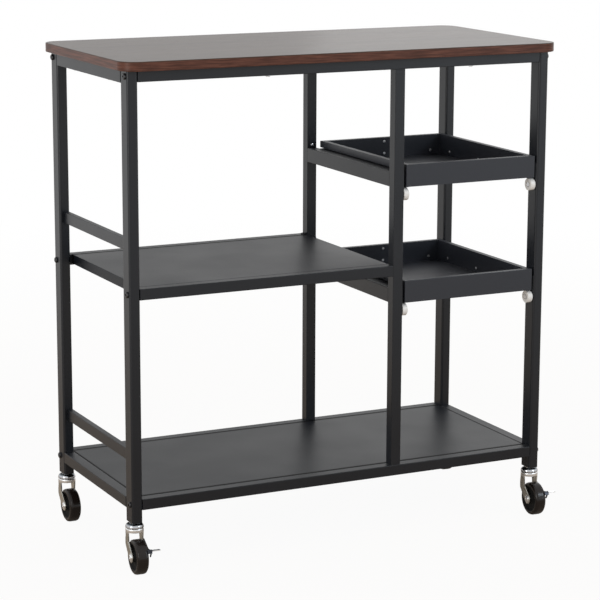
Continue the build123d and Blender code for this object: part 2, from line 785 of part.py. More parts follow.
def all_pieces():
    """Every node of the cart, centred on the steel frame with the floor at z = 0."""
    pieces = {"worktop": worktop()}
    sides = {-1: "left", 1: "right"}
    ends = {-1: "front", 1: "rear"}
    for front, end in ends.items():
        for side, hand in sides.items():
            pieces["post_" + end + "_" + hand] = corner_post(side, front)
        pieces["post_" + end + "_centre"] = centre_post(front)
        pieces["top_rail_" + end] = top_rail_long(front)
        pieces["bottom_rail_" + end] = bottom_rail_long(front)
        pieces["middle_shelf_rail_" + end] = middle_rail(front)
    for side, hand in sides.items():
        pieces["top_rail_" + hand] = top_rail_side(side)
        pieces["bottom_rail_" + hand] = bottom_rail_side(side)
    pieces["guard_rails"] = guard_rails()
    pieces["bottom_shelf_panel"] = shelf_panel((-inner_x, inner_x), bottom_shelf_top)
    middle_left = -half_length + post_width + middle_panel_inset
    pieces["middle_shelf_panel"] = shelf_panel((middle_left, centre_left), middle_shelf_top)
    pieces["frame_bolts"] = frame_bolts()
    pieces["threaded_inserts"] = threaded_inserts()
    pieces["worktop_screws"] = worktop_screws()
    pieces["foot_plugs"] = foot_plugs()
    pieces["caster_stems"] = caster_stems()
    pieces["swivel_caps"] = swivel_caps()
    pieces["swivel_balls"] = swivel_balls()
    pieces["slide_fasteners"] = slide_fasteners()
    for level, tray_z in tray_levels.items():
        pieces[level + "_tray"] = tray(tray_z)
        pieces[level + "_tray_runners"] = group([tray_runner(side, tray_z) for side in sides])
        pieces[level + "_tray_fasteners"] = tray_fasteners(tray_z)
        for side, hand in sides.items():
            pieces[level + "_runner_bar_" + hand] = runner_bar(side, tray_z)
            pieces[level + "_slide_channel_" + hand] = slide_channel(side, tray_z)
            pieces[level + "_front_roller_" + hand] = front_roller(side, tray_z)
            pieces[level + "_rear_roller_" + hand] = rear_roller(side, tray_z)
    for name in headings:
        pieces["fork_" + name] = fork(name)
        pieces["wheel_" + name] = wheel(name)
    for name in braked_casters:
        pieces["brake_pedal_" + name] = brake_pedal(name)
    return pieces


# The origin is on the floor, under the middle of the whole cart's outline
pieces = all_pieces()
boxes = [piece.bounding_box() for piece in pieces.values()]
origin_x = (min(box.min.X for box in boxes) + max(box.max.X for box in boxes)) / 2
origin_y = (min(box.min.Y for box in boxes) + max(box.max.Y for box in boxes)) / 2
os.makedirs("parts", exist_ok=True)
for node, piece in pieces.items():
    export_step(Pos(-origin_x, -origin_y, 0) * piece, "parts/" + node + ".step")
print("nodes", len(pieces), "origin", round(origin_x, 3), round(origin_y, 3), "height", frame_top + top_thickness)
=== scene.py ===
import bpy
import bmesh
import json
import math
import numpy as np
from mathutils import Matrix, Vector


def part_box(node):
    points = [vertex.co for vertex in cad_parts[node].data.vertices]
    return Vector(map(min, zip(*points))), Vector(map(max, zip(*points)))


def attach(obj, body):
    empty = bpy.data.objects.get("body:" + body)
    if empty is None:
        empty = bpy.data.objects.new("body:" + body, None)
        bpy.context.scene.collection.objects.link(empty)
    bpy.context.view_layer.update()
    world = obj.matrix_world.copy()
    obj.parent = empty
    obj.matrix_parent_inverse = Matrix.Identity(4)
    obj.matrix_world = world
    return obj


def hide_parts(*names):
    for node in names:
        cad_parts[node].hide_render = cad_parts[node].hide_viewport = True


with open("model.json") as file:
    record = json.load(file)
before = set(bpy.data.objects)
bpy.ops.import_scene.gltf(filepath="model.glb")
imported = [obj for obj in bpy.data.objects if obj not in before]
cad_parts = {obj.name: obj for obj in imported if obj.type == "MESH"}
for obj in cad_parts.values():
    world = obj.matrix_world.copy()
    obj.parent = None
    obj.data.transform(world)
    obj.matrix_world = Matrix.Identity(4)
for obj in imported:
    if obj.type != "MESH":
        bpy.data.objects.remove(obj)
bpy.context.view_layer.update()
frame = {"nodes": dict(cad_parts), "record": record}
nodes = frame["nodes"]
record = frame["record"]
boardLow, boardHigh = (np.array(corner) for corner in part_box("worktop"))
middle = (boardLow + boardHigh) / 2
joints = {joint["name"]: joint for joint in record["behaviour"]["joints"]}
print("frame loaded:", len(nodes), "nodes")


# a socket with the usual arithmetic, so that shader maths reads as an expression
class Signal:
    def __init__(self, finish, socket):
        self.finish = finish
        self.socket = socket

    def math(self, operation, first, second=0.0, clamp=False):
        settings = {"operation": operation, "use_clamp": clamp}
        return self.finish.add("ShaderNodeMath", settings, {0: first, 1: second})

    def __add__(self, other):
        return self.math("ADD", self, other)

    def __radd__(self, other):
        return self.math("ADD", other, self)

    def __sub__(self, other):
        return self.math("SUBTRACT", self, other)

    def __rsub__(self, other):
        return self.math("SUBTRACT", other, self)

    def __mul__(self, other):
        return self.math("MULTIPLY", self, other)

    def __rmul__(self, other):
        return self.math("MULTIPLY", other, self)

    def __truediv__(self, other):
        return self.math("DIVIDE", self, other)

    def larger(self, other):
        return self.math("MAXIMUM", self, other)

    # kept between 0 and 1
    def clamped(self):
        return self.math("ADD", self, 0.0, True)


# a material with one Principled shader; add() makes any other node
class Finish:
    def __init__(self, name):
        self.material = bpy.data.materials.new(name)
        self.material.use_nodes = True
        self.tree = self.material.node_tree
        self.tree.nodes.clear()
        self.output = self.tree.nodes.new("ShaderNodeOutputMaterial")
        self.shader = self.tree.nodes.new("ShaderNodeBsdfPrincipled")
        self.tree.links.new(self.shader.outputs[0], self.output.inputs[0])
        self.place = self.add("ShaderNodeTexCoord", {}, {}, "Object")

    # settings first, then each input by a value or by a link
    def add(self, kind, settings, inputs, output=0):
        node = self.tree.nodes.new(kind)
        for name, value in settings.items():
            if name == "stops":
                ramp = node.color_ramp
                while len(ramp.elements) < len(value):
                    ramp.elements.new(0.5)
                for element, (position, colour) in zip(ramp.elements, value):
                    element.position = position
                    element.color = (*colour, 1.0)
            else:
                setattr(node, name, value)
        for name, value in inputs.items():
            self.feed(node.inputs[name], value)
        return Signal(self, node.outputs[output])

    def feed(self, socket, value):
        if isinstance(value, Signal):
            self.tree.links.new(value.socket, socket)
        elif isinstance(value, tuple) and len(value) == 3 and socket.type == "RGBA":
            socket.default_value = (*value, 1.0)
        else:
            socket.default_value = value

    def set(self, **inputs):
        labels = {"baseColor": "Base Color", "roughness": "Roughness", "metallic": "Metallic",
                  "normal": "Normal", "specular": "Specular IOR Level"}
        for name, value in inputs.items():
            self.feed(self.shader.inputs[labels[name]], value)

    # the piece's own tint attribute, from 0 to 1, as makePiece stores it
    def tint(self):
        return self.add("ShaderNodeAttribute", {"attribute_name": "tint"}, {}, "Fac")

    # noise from 0 to 1 on the object's own coordinates, stretched by a scale for each axis
    def noise(self, scale, detail=2.0, roughness=0.5, stretch=(1, 1, 1), distortion=0.0):
        place = self.add("ShaderNodeMapping", {}, {"Vector": self.place, "Scale": tuple(stretch)})
        inputs = {"Vector": place, "Scale": scale, "Detail": detail}
        inputs.update({"Roughness": roughness, "Distortion": distortion})
        return self.add("ShaderNodeTexNoise", {}, inputs)

    def blend(self, factor, first, second):
        return self.add("ShaderNodeMix", {"data_type": "RGBA"}, {0: factor, 6: first, 7: second}, 2)

    def bump(self, height, strength, distance):
        return self.add("ShaderNodeBump", {}, {"Height": height, "Strength": strength, "Distance": distance})


powderLook = {
    "colour": (0.0052, 0.0066, 0.0096),   # satin black
    "paleSpeck": (0.016, 0.019, 0.026),
    "roughness": 0.33,
    "glossChange": 0.10,                  # how much the specks and the clouds each change the roughness
    "specular": 0.36,
    "grain": 900.0,                       # scale of the specks, for each metre
    "grainFrom": 0.55,                    # noise above this turns pale
    "grainContrast": 2.2,
    "clouds": 9.0,                        # scale of the slow changes, for each metre
    "cloudContrast": 0.5,
    "bump": 0.10,
    "bumpDepth": 0.0003,                  # metres
    "topFrom": 0.7,                       # a face looks up where its normal's z is above this
    "topSharpness": 10.0,
    "topRoughness": 0.14,                 # added where a face looks up
}


# powder coat: a fine orange-peel bump, and slow changes of colour and gloss; faces that look up are more
# matt; a joint function, where given, adds a band of painted shade
def powderCoat(name, look, joint=None):
    finish = Finish(name)
    grain = finish.noise(look["grain"], 3.0, 0.6)
    cloud = finish.noise(look["clouds"], 2.0)
    pale = (grain - look["grainFrom"]) * look["grainContrast"] + (cloud - 0.5) * look["cloudContrast"]
    colour = finish.blend(pale, look["colour"], look["paleSpeck"])
    normal = finish.add("ShaderNodeNewGeometry", {}, {}, "Normal")
    level = finish.add("ShaderNodeSeparateXYZ", {}, {0: normal}, 2)
    facesUp = ((level - look["topFrom"]) * look["topSharpness"]).clamped()
    change = look["glossChange"]
    roughness = look["roughness"] + change * (grain - 0.5) + change * (cloud - 0.5)
    roughness = roughness + look["topRoughness"] * facesUp
    if joint:
        # painted shade: the joint function's dark, matt band along a sheet's seams
        shade = joint(finish)
        colour = finish.blend(shade, colour, seamShadeLook["colour"])
        roughness = roughness + shade * seamShadeLook["roughness"]
    finish.set(baseColor=colour, roughness=roughness, specular=look["specular"],
               normal=finish.bump(grain, look["bump"], look["bumpDepth"]))
    return finish.material


# painted shade where a shelf sheet meets the rails: a dark, matt band standing in for the shade of the step
# and gap there; all round the bottom shelf, and along the rear of both
seamShadeLook = {
    "acrossX": 0.004,                     # metres in from the sheet's left and right ends
    "acrossY": 0.008,                     # metres in from its front and rear
    "above": 0.01,                        # metres over the bottom sheet up to which the ring is drawn
    "aboveSharpness": 1000.0,
    "contrast": 2.0,
    "colour": (0.003, 0.003, 0.003),
    "roughness": 0.27,                    # added in the line
}


# how much painted shade a point of a shelf sheet gets near its seams, from 0 to 1
def sheetSeamShade(finish):
    low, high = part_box("bottom_shelf_panel")
    x, y, z = (finish.add("ShaderNodeSeparateXYZ", {}, {0: finish.place}, axis) for axis in range(3))
    bottom = ((high[2] + seamShadeLook["above"] - z) * seamShadeLook["aboveSharpness"]).clamped()
    rear = 1.0 - (high[1] - y) / seamShadeLook["acrossY"]
    front = 1.0 - (y - low[1]) / seamShadeLook["acrossY"]
    left, right = (1.0 - gap / seamShadeLook["acrossX"] for gap in (x - low[0], high[0] - x))
    ring = front.larger(left).larger(right) * bottom
    return (rear.larger(ring) * seamShadeLook["contrast"]).clamped()


boardLook = {
    "dark": (0.024, 0.014, 0.010),
    "brown": (0.052, 0.032, 0.023),
    "light": (0.086, 0.058, 0.042),
    "edgeDark": (0.064, 0.027, 0.019),
    "edgeBrown": (0.164, 0.068, 0.047),
    "stops": (0.25, 0.5, 0.78),           # places of dark, brown and light in the grain's noise
    "edgeFrom": 0.0010,                   # metres below the top face at which the edge band starts
    "edgeBlend": 0.0006,
    "roughness": 0.30,
    "glossChange": 0.14,
    "specular": 0.12,
    "grainLength": 0.045,                 # the smaller, the longer along X
    "bands": 22.0,                        # scales of the noises, for each metre
    "fibres": 420.0,
    "pores": 1500.0,
    "bandShare": 0.62,                    # of the bands in the grain, beside the fibres
    "poreLength": 0.02,
    "poreFrom": 0.60,
    "poreContrast": 2.0,
    "streakLength": 0.05,
    "streakFrom": 0.40,
    "streakContrast": 3.0,
    "bump": 0.12,
    "bumpFibres": 0.6,                    # share of the fibres in the bump, beside the pores
    "bumpDepth": 0.0002,
}


# printed walnut on board: grain drawn out along X, with bands across Y; the edge band is streaked and redder
def boardWood(look):
    finish = Finish("boardWood")
    along = (look["grainLength"], 1.0, 1.0)
    bands = finish.noise(look["bands"], 4.0, 0.55, along, 0.6)
    fibres = finish.noise(look["fibres"], 3.0, 0.6, along)
    pores = finish.noise(look["pores"], 2.0, 0.5, (look["poreLength"], 1.0, 1.0))
    stops = list(zip(look["stops"], (look["dark"], look["brown"], look["light"])))
    grain = bands * look["bandShare"] + fibres * (1.0 - look["bandShare"])
    tone = finish.add("ShaderNodeValToRGB", {"stops": stops}, {0: grain})
    pitted = (pores - look["poreFrom"]).clamped() * look["poreContrast"]
    top = finish.blend(pitted, tone, look["dark"])
    streaks = finish.noise(look["fibres"], 3.0, 0.6, (look["streakLength"], look["streakLength"], 1.0))
    streaked = ((streaks - look["streakFrom"]) * look["streakContrast"]).clamped()
    edge = finish.blend(streaked, look["edgeDark"], look["edgeBrown"])
    height = finish.add("ShaderNodeSeparateXYZ", {}, {0: finish.place}, 2)
    below = ((boardHigh[2] - look["edgeFrom"] - height) / look["edgeBlend"]).clamped()
    relief = fibres * look["bumpFibres"] + pores * (1.0 - look["bumpFibres"])
    finish.set(baseColor=finish.blend(below, top, edge), specular=look["specular"],
               roughness=look["roughness"] + look["glossChange"] * (fibres - 0.5),
               normal=finish.bump(relief, look["bump"], look["bumpDepth"]))
    return finish.material


steelLook = {
    "brush": 700.0,                       # scales of the noises, for each metre
    "stain": 60.0,
    "paler": 1.12,
    "bump": 0.05,
    "bumpDepth": 0.0002,
}


# plated or bare steel: fine brushing across one axis; where the tint attribute is 1 it takes its other colour
def plainSteel(name, colour, roughness, stretch, wear=0.06, other=None):
    finish = Finish(name)
    brush = finish.noise(steelLook["brush"], 3.0, 0.6, stretch)
    stain = finish.noise(steelLook["stain"], 3.0, 0.5)
    pale = tuple(min(1.0, value * steelLook["paler"]) for value in colour)
    surface = finish.blend(stain, colour, pale)
    if other:
        surface = finish.blend(finish.tint(), surface, other)
    finish.set(baseColor=surface, metallic=1.0,
               roughness=roughness + 2 * wear * (stain - 0.5) + wear * (brush - 0.5),
               normal=finish.bump(brush, steelLook["bump"], steelLook["bumpDepth"]))
    return finish.material


mouldedLook = {
    "mottle": 45.0,                       # scales of the noises, for each metre
    "fine": 500.0,
    "glossChange": 0.15,
    "bump": 0.08,
    "bumpDepth": 0.0003,
}


# moulded plastic or rubber: slight mottling and a fine matt surface, and its other colour where tint is 1
def moulded(name, colour, pale, roughness, other=None, specular=0.5, otherRoughness=0.5):
    finish = Finish(name)
    mottle = finish.noise(mouldedLook["mottle"], 3.0, 0.55)
    fine = finish.noise(mouldedLook["fine"])
    surface = finish.blend(mottle, colour, pale)
    gloss = roughness + mouldedLook["glossChange"] * (mottle - 0.5)
    if other:
        surface = finish.blend(finish.tint(), surface, other)
        gloss = gloss + finish.tint() * (otherRoughness - roughness)
    finish.set(baseColor=surface, roughness=gloss, specular=specular,
               normal=finish.bump(fine, mouldedLook["bump"], mouldedLook["bumpDepth"]))
    return finish.material


shelfLook = {**powderLook, "roughness": 0.42, "specular": 0.19, "bump": 0.16, "topRoughness": 0.0}
trayLook = {**powderLook, "colour": (0.0205, 0.0230, 0.0300), "roughness": 0.34}
slideLook = {**powderLook, "roughness": 0.40}

# one finish for each material slot; a last colour on steel or rubber is the other colour
finishes = {
    "board": boardWood(boardLook),
    "frame_tube": powderCoat("frameBlack", powderLook),
    "shelf_sheet": powderCoat("shelfBlack", shelfLook, sheetSeamShade),
    "tray_sheet": powderCoat("trayBlack", trayLook),
    "slide_sheet": powderCoat("slideBlack", slideLook),
    "bolt_steel": plainSteel("boltBlack", (0.05, 0.05, 0.052), 0.35, (1, 1, 1)),
    "plated_steel": plainSteel("zincSteel", (0.62, 0.62, 0.63), 0.30, (1, 1, 1)),
    "plug_plastic": moulded("plugBlack", (0.012, 0.012, 0.012), (0.02, 0.02, 0.02), 0.5),
    # the caps' other colour is a painted dark reflection on their domes
    "caster_chrome": plainSteel("capChrome", (0.50, 0.52, 0.55), 0.12, (1, 1, 0.05), 0.03,
                                (0.070, 0.085, 0.095)),
    # one steel painted as its reflections: warm grey on the legs, paler on the bosses and crowns
    "fork_steel": plainSteel("forkSteel", (0.44, 0.435, 0.40), 0.28, (1, 1, 0.08), 0.05,
                             (0.80, 0.81, 0.82)),
    "pedal_steel": plainSteel("pedalSteel", (0.035, 0.037, 0.043), 0.30, (1, 0.1, 1), 0.05,
                              (0.86, 0.87, 0.88)),
    "wheel_rubber": moulded("wheelRubber", (0.006, 0.0045, 0.004), (0.013, 0.009, 0.0075), 0.24,
                            (0.0015, 0.0015, 0.0015), 0.30, 0.80),
    "roller_nylon": moulded("rollerNylon", (0.74, 0.74, 0.73), (0.80, 0.80, 0.79), 0.40),
}

for part in record["subparts"]:
    node = nodes[part["node"]]
    node.data.materials.clear()
    node.data.materials.append(finishes[part["material_slot"]])
print("finishes:", len(finishes))


roomLook = {
    "floorColour": (0.56, 0.46, 0.37),
    "plainMix": 0.95,         # share of plain white in the floor near the cart
    "glossyMix": 0.05,        # the same share where a glossy surface mirrors it
    "whiteStart": 1.00,       # metres from the middle at which the floor starts to turn white
    "whiteEnd": 3.2,
    "halfSide": 9.0,
    "worldLight": 0.78,       # strength of the soft light from all round
}

lampAim = 0.45                # height in metres at which every lamp is aimed

# places in metres from the middle of the worktop, on the floor; power in watts
lampLook = {
    "left": {"at": (-3.4, -1.5, 1.1), "size": 1.4, "power": 38.0, "colour": (1.0, 0.98, 0.95)},
    "front": {"at": (1.8, -2.6, 1.8), "size": 0.7, "power": 16.0, "colour": (0.80, 0.90, 1.0)},
    "back": {"at": (2.6, 3.0, 1.5), "size": 2.0, "power": 5.0, "colour": (1.0, 1.0, 1.0)},
    "right": {"at": (2.6, -3.6, 0.8), "size": 0.8, "power": 5.0, "colour": (0.80, 0.90, 1.0)},
}

cameraLook = {
    "at": (-1.7452, -3.5475, 1.2405),     # from the middle of the worktop, on the floor
    "to": (0.0, 0.0, 0.4029),
    "roll": 0.195,                        # degrees
    "lens": 134.49,                       # millimetres, on the sensor's width
    "sensor": 36.0,
    "farthest": 60.0,
}


# soft light from the world; where the camera or a mirror surface looks, it is plain white
def makeWorld(look):
    world = bpy.data.worlds.new("studioAir")
    world.use_nodes = True
    tree = world.node_tree
    tree.nodes.clear()
    path = tree.nodes.new("ShaderNodeLightPath")
    seen = path.outputs["Is Camera Ray"]
    for name in ("Is Glossy Ray", "Is Transmission Ray"):
        either = tree.nodes.new("ShaderNodeMath")
        either.operation = "MAXIMUM"
        tree.links.new(seen, either.inputs[0])
        tree.links.new(path.outputs[name], either.inputs[1])
        seen = either.outputs[0]
    strength = tree.nodes.new("ShaderNodeMapRange")
    tree.links.new(seen, strength.inputs["Value"])
    strength.inputs["To Min"].default_value = look["worldLight"]
    strength.inputs["To Max"].default_value = 1.0
    background = tree.nodes.new("ShaderNodeBackground")
    background.inputs["Color"].default_value = (1, 1, 1, 1)
    tree.links.new(strength.outputs[0], background.inputs["Strength"])
    output = tree.nodes.new("ShaderNodeOutputWorld")
    tree.links.new(background.outputs[0], output.inputs[0])
    bpy.context.scene.world = world


# pale floor that keeps the shadow of the cart and turns plain white further out
def makeFloor(look):
    half = look["halfSide"]
    corners = [(-half, -half, 0), (half, -half, 0), (half, half, 0), (-half, half, 0)]
    mesh = bpy.data.meshes.new("floor")
    mesh.from_pydata(corners, [], [(0, 1, 2, 3)])
    floor = bpy.data.objects.new("floor", mesh)
    bpy.context.collection.objects.link(floor)
    finish = Finish("paleFloor")
    finish.set(baseColor=look["floorColour"], roughness=0.9, specular=0.0)
    distance = finish.add("ShaderNodeVectorMath", {"operation": "LENGTH"}, {0: finish.place}, "Value")
    rise = ((distance - look["whiteStart"]) / (look["whiteEnd"] - look["whiteStart"])).clamped()
    plain = finish.add("ShaderNodeEmission", {}, {"Color": (1, 1, 1), "Strength": 1.0})
    cameraRay = finish.add("ShaderNodeLightPath", {}, {}, "Is Camera Ray")
    glossyRay = finish.add("ShaderNodeLightPath", {}, {}, "Is Glossy Ray")
    share = look["plainMix"] * cameraRay + look["glossyMix"] * glossyRay
    white = share + (cameraRay.larger(glossyRay) - share) * rise
    surface = Signal(finish, finish.shader.outputs[0])
    mixed = finish.add("ShaderNodeMixShader", {}, {0: white, 1: surface, 2: plain})
    finish.tree.links.new(mixed.socket, finish.output.inputs[0])
    mesh.materials.append(finish.material)


def makeLamp(name, look):
    data = bpy.data.lights.new(name, "AREA")
    data.shape = "SQUARE"
    data.size = look["size"]
    data.energy = look["power"]
    data.color = look["colour"]
    lamp = bpy.data.objects.new(name, data)
    at = Vector(look["at"]) + Vector((middle[0], middle[1], 0))
    aim = Vector((middle[0], middle[1], lampAim)) - at
    lamp.matrix_world = Matrix.Translation(at) @ aim.to_track_quat("-Z", "Y").to_matrix().to_4x4()
    bpy.context.collection.objects.link(lamp)


# the camera looks from at to to, and its right-hand side is tipped up by roll
def makeCamera(look):
    data = bpy.data.cameras.new("photoCamera")
    data.lens = look["lens"]
    data.sensor_width = look["sensor"]
    data.clip_end = look["farthest"]
    camera = bpy.data.objects.new("photoCamera", data)
    shift = Vector((middle[0], middle[1], 0))
    at = Vector(look["at"]) + shift
    to = Vector(look["to"]) + shift
    forward = (to - at).normalized()
    right = forward.cross(Vector((0, 0, 1))).normalized()
    up = right.cross(forward)
    roll = math.radians(look["roll"])
    tipped = right * math.cos(roll) + up * math.sin(roll)
    turn = Matrix((tipped, tipped.cross(forward), -forward)).transposed()
    camera.matrix_world = Matrix.Translation(at) @ turn.to_4x4()
    bpy.context.collection.objects.link(camera)
    bpy.context.scene.camera = camera


makeWorld(roomLook)
makeFloor(roomLook)
for name, look in lampLook.items():
    makeLamp(name + "Lamp", look)
makeCamera(cameraLook)
bpy.context.scene.view_settings.view_transform = "Standard"
print("room, lamps and camera ready")


# quads over a grid of points, rows by columns; the last column joins the first
def gridFaces(rows, columns):
    row, column = np.meshgrid(np.arange(rows - 1), np.arange(columns), indexing="ij")
    following = (column + 1) % columns
    return np.stack([row * columns + column, row * columns + following,
                     (row + 1) * columns + following, (row + 1) * columns + column], -1).reshape(-1, 4)


mm = 0.001                    # in metres
upward = np.array([0.0, 0.0, 1.0])
tiny = 1e-6                   # keeps a division away from zero
sharpAngle = 35.0             # edges sharper than this stay sharp, in degrees
filletSteps = 6               # points along a fillet
smallSteps = 32               # points round a pin or a screw
washerSteps = 48
roundSteps = 96               # round a crown, a cap or a flange
tyreSteps = 128
outlineSteps = 240            # round the side view of a leg or a lever


# a profile from corners (radius, height, fillet); each fillet becomes a short arc
def eased(corners, closed=False):
    points = []
    for index, (radius, height, fillet) in enumerate(corners):
        here = np.array([radius, height], float)
        if fillet == 0:
            points.append(here)
            continue
        before = np.array(corners[index - 1][:2]) - here
        after = np.array(corners[(index + 1) % len(corners)][:2]) - here
        before, after = before / np.linalg.norm(before), after / np.linalg.norm(after)
        half = math.acos(float(np.clip(before @ after, -1, 1))) / 2
        centre = here + (before + after) / np.linalg.norm(before + after) * fillet / math.sin(half)
        start, end = (here + way * fillet / math.tan(half) - centre for way in (before, after))
        for share in np.linspace(0, 1, filletSteps):
            spoke = start * (1 - share) + end * share
            points.append(centre + spoke / np.linalg.norm(spoke) * fillet)
    return np.array(points + points[:1] if closed else points)


# a turned shape: each (radius, height) of the profile becomes a ring (r cos a, r sin a, h)
def turned(profile, steps):
    radius, height = np.asarray(profile, float).T
    angle = np.linspace(0, 2 * np.pi, steps, endpoint=False)
    points = np.stack([np.outer(radius, np.cos(angle)), np.outer(radius, np.sin(angle)),
                       np.repeat(height[:, None], steps, 1)], -1)
    return points.reshape(-1, 3), gridFaces(len(radius), steps)


# rows of points, each row a closed loop; the ends are drawn together to a point, or joined to each other
def loft(loops, ring=False):
    if ring:
        loops = np.concatenate([loops, loops[:1]])
    else:
        start = np.repeat(loops[:1].mean(1, keepdims=True), loops.shape[1], 1)
        end = np.repeat(loops[-1:].mean(1, keepdims=True), loops.shape[1], 1)
        loops = np.concatenate([start, loops, end])
    return loops.reshape(-1, 3), gridFaces(loops.shape[0], loops.shape[1])


# points given along x, y and z axes are put where those axes point
def placed(shape, origin, xAxis, yAxis, zAxis):
    points, faces = shape
    return np.asarray(origin) + points @ np.array([xAxis, yAxis, zAxis], float), faces


# a shape turned about the caster's own x axis, in millimetres
def acrossAt(shape, y, z, side=1):
    return placed(shape, (0, y, z), (0, side, 0), (0, 0, 1), (side, 0, 0))


# a caster's own frame: origin on the floor under its stem, x across the wheel, y backwards, z up
def atCaster(name, shape):
    stem = np.array(joints[name + "_swivel"]["pos_m"]) * (1, 1, 0)
    across = np.array(joints[name + "_wheel_turn"]["axis"], float)
    return placed((shape[0] * mm, shape[1]), stem, across, np.cross(upward, across), upward)


# several shapes as one piece: doubled points merged, faces turned outwards, smooth apart from sharp edges
def makePiece(name, shapes, slot, body, replaces=(), tint=None):
    counts = np.cumsum([0] + [len(points) for points, faces in shapes])
    points = np.concatenate([points for points, faces in shapes])
    faces = np.concatenate([faces + count for (_, faces), count in zip(shapes, counts)])
    mesh = bpy.data.meshes.new(name)
    mesh.from_pydata(points.tolist(), [], faces.tolist())
    work = bmesh.new()
    work.from_mesh(mesh)
    bmesh.ops.remove_doubles(work, verts=work.verts, dist=1e-6)
    bmesh.ops.dissolve_degenerate(work, edges=work.edges, dist=1e-7)
    bmesh.ops.recalc_face_normals(work, faces=work.faces)
    work.to_mesh(mesh)
    work.free()
    mesh.polygons.foreach_set("use_smooth", np.ones(len(mesh.polygons), bool))
    mesh.set_sharp_from_angle(angle=math.radians(sharpAngle))
    if tint:
        place = np.empty(len(mesh.vertices) * 3)
        mesh.vertices.foreach_get("co", place)
        mesh.attributes.new("tint", "FLOAT", "POINT").data.foreach_set("value", tint(place.reshape(-1, 3)))
    mesh.materials.append(finishes[slot])
    piece = bpy.data.objects.new(name, mesh)
    bpy.context.collection.objects.link(piece)
    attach(piece, body)
    if replaces:
        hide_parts(*replaces)


def smoothStep(value):
    share = np.clip(value, 0, 1)
    return share * share * (3 - 2 * share)


# millimetres in the caster's own frame; a disc is (y, z, radius)
forkLook = {
    "crown": [(4.05, 75, 0.2), (13.5, 75, 1.2), (13.5, 70, 0.3), (15.5, 70, 0.5), (15.5, 77, 2.6),
              (4.05, 77, 0.2)],
    "roundRadius": 15.45,             # of the legs' outer face where it joins the crown
    "flatFrom": 54.0,                 # heights between which the flat turns into the round
    "roundFrom": 70.0,
    "outer": 13.8,
    "wall": 2.6,
    "bend": (1.0, 49.5, 8.0),
    "boss": (-19.0, 30.0, 9.2),
    "neck": (-6.0, 9.0, 75.2),        # front, rear and top
    "edge": 0.6,
    "faceRows": 12,                   # loops over each face of a leg, and where the first one lies
    "faceFrom": 0.12,
    "discs": 80,                      # taken from the bend to the boss
    "roundHalf": 10.0,                # half the width over which the round is followed
    "washer": [(0, 13.7, 0), (6.8, 13.7, 0), (6.8, 14.4, 0.4), (0, 14.4, 0)],
    "axle": [(0, 0, 0), (3, 0, 0), (3, 14.2, 0), (5, 14.2, 0.2), (5, 15, 0.5), (3.6, 15.8, 0.8),
             (1.8, 15.8, 0.3), (1.5, 15.2, 0.2), (0, 15.2, 0)],
    "pivot": [(0, 12, 0), (2, 12, 0), (2, 15.85, 0), (3.5, 15.85, 0.2), (3.5, 16.85, 0.6), (0, 16.85, 0)],
    "pivotPlace": (-3.0, 50.0),
    "paintedBoss": 7.4,                # radius round the axle, and height of the crown, painted paler than the legs as a reflection on the same steel
    "paintedCrown": (66.0, 72.0),
}


# how far a ray from the bend goes, at each angle, inside the discs that run from the bend to the boss
def discReach(ray, bend, boss, discs):
    share = np.linspace(0, 1, discs)[:, None]
    centre = share * (np.array(boss[:2]) - bend[:2])
    radius = bend[2] + share * (boss[2] - bend[2])
    along = centre @ ray.T
    room = radius ** 2 - (centre ** 2).sum(1, keepdims=True) + along ** 2
    return np.where(room > 0, along + np.sqrt(np.maximum(room, 0)), 0).max(0)


# a fork leg: loops round its side view, shrunk towards the bend on both faces; the outer face
# goes from a flat at the axle to the crown's round, x = sqrt(r^2 - y^2)
def forkLeg(look):
    angle = np.linspace(0, 2 * np.pi, outlineSteps, endpoint=False)
    ray = np.stack([np.cos(angle), np.sin(angle)], -1)
    bend = look["bend"]
    front, rear, top = look["neck"]
    sideways = np.where(ray[:, 0] > 0, rear - bend[0], bend[0] - front) / np.maximum(abs(ray[:, 0]), tiny)
    upwards = (top - bend[1]) / np.maximum(ray[:, 1], tiny)
    neck = np.where(ray[:, 1] > 0, np.minimum(sideways, upwards), 0)
    reach = np.maximum(neck, discReach(ray, bend, look["boss"], look["discs"]))
    face = np.linspace(look["faceFrom"], 1, look["faceRows"])
    edge = look["edge"]
    edgeShare = edge / look["wall"]
    share = np.concatenate([face, [1, 1], face[::-1]])[:, None]
    inset = np.concatenate([face * 0 + edge, [0, 0], face * 0 + edge])[:, None] * share
    side = np.concatenate([face * 0, [edgeShare, 1 - edgeShare], face * 0 + 1])[:, None]
    length = share * reach - inset
    y = bend[0] + length * ray[:, 0]
    z = bend[1] + length * ray[:, 1]
    rounding = smoothStep((z - look["flatFrom"]) / (look["roundFrom"] - look["flatFrom"]))
    across = np.clip(y, -look["roundHalf"], look["roundHalf"])
    bulge = np.sqrt(look["roundRadius"] ** 2 - across ** 2)
    outer = look["outer"] + rounding * (bulge - look["outer"])
    return loft(np.stack([outer - look["wall"] * (1 - side), y, z], -1))


def mirrored(shape):
    return shape[0] * (-1, 1, 1), shape[1]


# distance from a wheel's axle, in millimetres
def fromAxle(name, points):
    joint = joints[name + "_wheel_turn"]
    offset = points - np.array(joint["pos_m"])
    across = np.array(joint["axis"], float)
    return np.linalg.norm(offset - np.outer(offset @ across, across), axis=1) / mm


